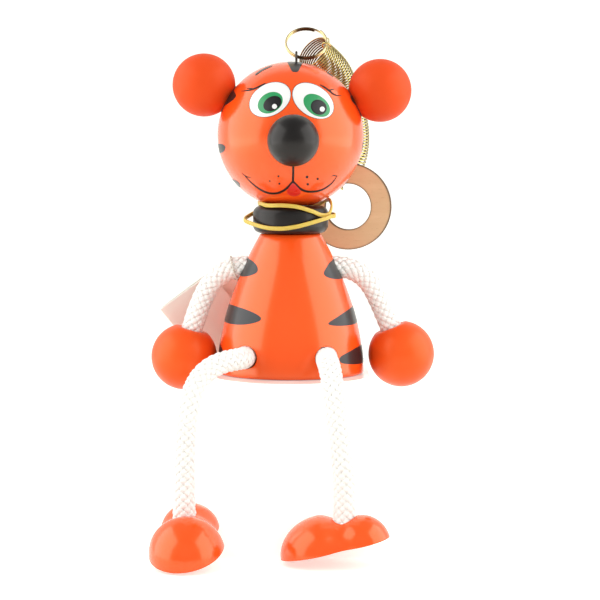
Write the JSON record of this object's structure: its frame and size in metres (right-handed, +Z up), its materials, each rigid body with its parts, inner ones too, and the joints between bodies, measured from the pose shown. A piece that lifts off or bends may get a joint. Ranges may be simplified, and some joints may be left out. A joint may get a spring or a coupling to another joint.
{
  "type": "wooden spring animal toy",
  "caption": "Sitting wooden tiger toy: turned head, body, ears and nose, rope arms and legs with ball hands and sawn feet, a coil spring and a finger ring.",
  "frame": {"origin": "centre of the body's flat base, which the toy sits on", "axes": "+Z up, the face looks along -Y, +X to the right of a viewer who looks at the face"},
  "size_m": [0.1177, 0.1215, 0.2123],
  "materials": {
    "orange_enamel": "gloss orange enamel on turned wood",
    "black_enamel": "satin black enamel on turned wood",
    "bare_wood": "bare, glued",
    "plywood": "bare plywood with laser-burnt edges",
    "cotton_rope": "braided cotton",
    "brassed_steel": "brass-plated spring wire",
    "dark_steel": "dark plated wire",
    "rubber": "yellow rubber",
    "card": "uncoated cream card",
    "thread": "cotton thread"
  },
  "bodies": {
    "torso": {"body": "orange_enamel", "neck_collar": "black_enamel", "neck_dowel": "bare_wood", "head": "orange_enamel", "left_ear": "orange_enamel", "right_ear": "orange_enamel", "left_ear_dowel": "bare_wood", "right_ear_dowel": "bare_wood", "nose": "black_enamel", "nose_dowel": "bare_wood", "screw_eye": "dark_steel", "rubber_band": "rubber", "coil_spring": "brassed_steel"},
    "left_upper_arm": {"left_arm_rope_upper": "cotton_rope"},
    "left_forearm": {"left_arm_rope_lower": "cotton_rope", "left_hand": "orange_enamel"},
    "right_upper_arm": {"right_arm_rope_upper": "cotton_rope"},
    "right_forearm": {"right_arm_rope_lower": "cotton_rope", "right_hand": "orange_enamel"},
    "left_thigh": {"left_leg_rope_upper": "cotton_rope"},
    "left_shin": {"left_leg_rope_lower": "cotton_rope"},
    "left_shoe": {"left_foot": "orange_enamel"},
    "right_thigh": {"right_leg_rope_upper": "cotton_rope"},
    "right_shin": {"right_leg_rope_lower": "cotton_rope"},
    "right_shoe": {"right_foot": "orange_enamel"},
    "top_ring": {"split_ring": "brassed_steel"},
    "hand_ring": {"finger_ring": "plywood"},
    "tag": {"hang_tag": "card", "tag_thread": "thread"}
  },
  "joints": [
    {"name": "left_arm_swing", "type": "hinge", "parent": "torso", "child": "left_upper_arm", "pos_m": [-0.02, 0, 0.0444], "axis": [-1, 0, 0], "range_deg": [-10, 80]},
    {"name": "left_elbow", "type": "hinge", "parent": "left_upper_arm", "child": "left_forearm", "pos_m": [-0.02682, 0, 0.0444], "axis": [0, 1, 0], "range_deg": [0, 75]},
    {"name": "right_arm_swing", "type": "hinge", "parent": "torso", "child": "right_upper_arm", "pos_m": [0.02, 0, 0.0444], "axis": [-1, 0, 0], "range_deg": [-60, 80]},
    {"name": "right_elbow", "type": "hinge", "parent": "right_upper_arm", "child": "right_forearm", "pos_m": [0.02682, 0, 0.0444], "axis": [0, -1, 0], "range_deg": [0, 75]},
    {"name": "left_leg_swing", "type": "hinge", "parent": "torso", "child": "left_thigh", "pos_m": [-0.0182, -0.026, 0.0087], "axis": [0, 1, 0], "range_deg": [-5, 40]},
    {"name": "left_knee", "type": "hinge", "parent": "left_thigh", "child": "left_shin", "pos_m": [-0.03, -0.0424, 0.0076], "axis": [-0.6297, 0.7768, 0], "range_deg": [-15, 60]},
    {"name": "left_foot_turn", "type": "hinge", "parent": "left_shin", "child": "left_shoe", "pos_m": [-0.0416, -0.055, -0.0505], "axis": [0.0118, 0, -0.9999], "range_deg": [-30, 90]},
    {"name": "right_leg_swing", "type": "hinge", "parent": "torso", "child": "right_thigh", "pos_m": [0.0146, -0.026, 0.0087], "axis": [0, -1, 0], "range_deg": [0, 45]},
    {"name": "right_knee", "type": "hinge", "parent": "right_thigh", "child": "right_shin", "pos_m": [0.0157, -0.0456, 0.0068], "axis": [-0.9925, -0.1223, 0], "range_deg": [-15, 60]},
    {"name": "right_foot_turn", "type": "hinge", "parent": "right_shin", "child": "right_shoe", "pos_m": [0.0213, -0.0575, -0.053], "axis": [0.01, -0.04, 0.9992], "range_deg": [0, 180]},
    {"name": "split_ring_turn", "type": "hinge", "parent": "torso", "child": "top_ring", "pos_m": [0.0065, 0.00076, 0.13655], "axis": [0, -0.7604, 0.6494], "continuous": true},
    {"name": "ring_pull", "type": "slide", "parent": "torso", "child": "hand_ring", "axis": [0.3505, 0.4506, -0.8211], "range_m": [0, 0.1], "stiffness_N_per_m": 5, "springref_m": -0.004, "deforming": ["coil_spring"]},
    {"name": "tag_swing", "type": "hinge", "parent": "torso", "child": "tag", "pos_m": [-0.0235, 0, 0.0444], "axis": [1, 0, 0], "range_deg": [0, 60]}
  ]
}
